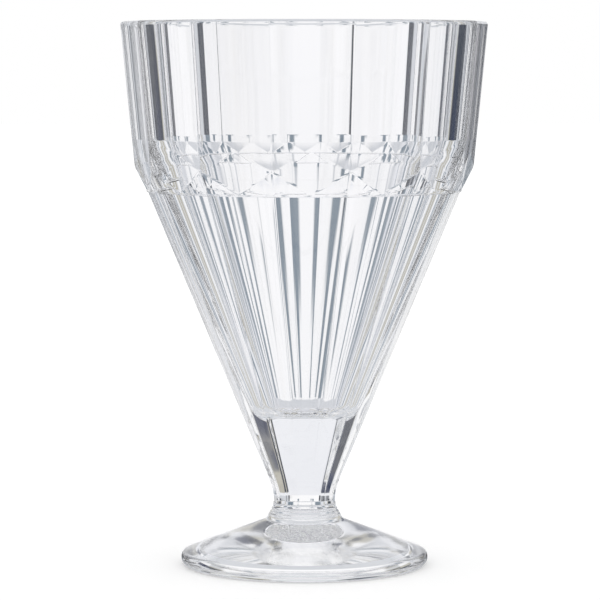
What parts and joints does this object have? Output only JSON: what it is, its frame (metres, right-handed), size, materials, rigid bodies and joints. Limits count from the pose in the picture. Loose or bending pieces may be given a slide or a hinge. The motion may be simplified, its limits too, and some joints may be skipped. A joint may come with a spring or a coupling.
{
  "type": "parfait glass",
  "caption": "Clear faceted footed parfait glass: flat-panelled tapered bowl with a zigzag girdle, a faceted stem, a ringed collar and a round foot, for layered desserts.",
  "frame": {"origin": "on the axis of the glass, in the plane that the foot rests on", "axes": "+Z along the axis towards the rim, -Y through the middle of one flat panel"},
  "size_m": [0.0978, 0.0954, 0.145],
  "materials": {
    "clear_glass": "polished"
  },
  "bodies": {
    "root": {"bowl": "clear_glass", "stem": "clear_glass", "collar": "clear_glass", "foot": "clear_glass"}
  },
  "joints": []
}
